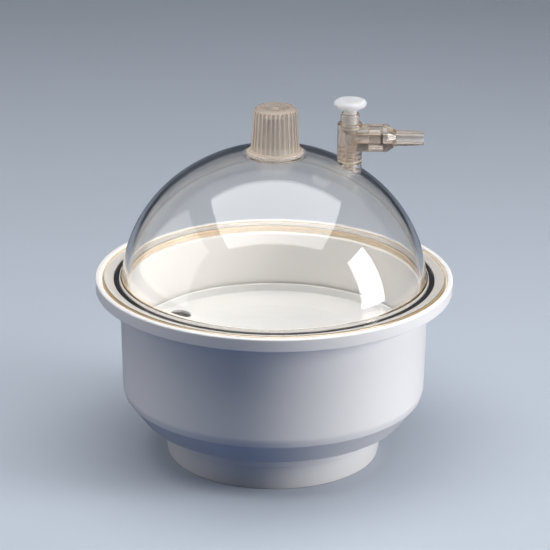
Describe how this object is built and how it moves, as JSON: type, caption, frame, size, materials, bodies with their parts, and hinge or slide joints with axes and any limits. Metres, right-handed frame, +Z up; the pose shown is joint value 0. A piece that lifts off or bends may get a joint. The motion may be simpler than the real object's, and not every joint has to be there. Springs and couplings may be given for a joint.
{
  "type": "vacuum desiccator",
  "caption": "Plastic vacuum desiccator: white footed bowl, clear domed lid with fluted knob, ring seal, loose shelf plate and a screw-down stopcock with hose nozzle.",
  "frame": {"origin": "centre of the foot's underside, where the desiccator stands", "axes": "+Z up through the bowl, dome and knob; +X from the knob towards the stopcock and its hose nozzle; +Y completes the right-handed frame, away from the viewer when the nozzle points right"},
  "size_m": [0.25, 0.25, 0.258],
  "materials": {
    "bowl_white": "satin moulded polypropylene, opaque white",
    "plate_white": "satin moulded polypropylene, white",
    "seal_black": "smooth black rubber",
    "desiccant_grey": "round grey grains",
    "clear_lid": "clear polished polycarbonate with a slight warm tint",
    "clear_fitting": "clear moulded polycarbonate with a warm tint",
    "soft_seal": "milky silicone",
    "stem_white": "smooth white fluoropolymer"
  },
  "bodies": {
    "base": {"base_bowl": "bowl_white", "flange_seal_ring": "seal_black", "desiccant_bed": "desiccant_grey"},
    "plate": {"shelf_plate": "plate_white"},
    "lid": {"dome_lid": "clear_lid", "lid_knob": "clear_lid", "stopcock_body": "clear_fitting", "joining_nipple": "clear_fitting", "stopcock_gasket": "soft_seal", "gland_bush": "clear_fitting", "stem_seal_ring": "soft_seal"},
    "seat_pad": {"valve_tip": "soft_seal"},
    "stem": {"valve_stem": "stem_white"},
    "hose_end": {"hose_connector": "clear_fitting", "connector_washer": "seal_black"}
  },
  "joints": [
    {"name": "plate_lift", "type": "slide", "parent": "base", "child": "plate", "axis": [0, 0, 1], "range_m": [0, 0.038]},
    {"name": "lid_lift", "type": "slide", "parent": "base", "child": "lid", "axis": [0, 0, 1], "range_m": [0, 0.15]},
    {"name": "valve_lift", "type": "slide", "parent": "lid", "child": "seat_pad", "axis": [0, 0, 1], "range_m": [0, 0.003]},
    {"name": "valve_turn", "type": "hinge", "parent": "seat_pad", "child": "stem", "pos_m": [0.05115, 0, 0.2309], "axis": [0, 0, 1], "range_deg": [0, 540]},
    {"name": "hose_pull", "type": "slide", "parent": "lid", "child": "hose_end", "axis": [1, 0, 0], "range_m": [0, 0.02]}
  ],
  "couplings": [
    {"joint": "valve_lift", "follows": "valve_turn", "m_per_rad": 0.00031831}
  ]
}
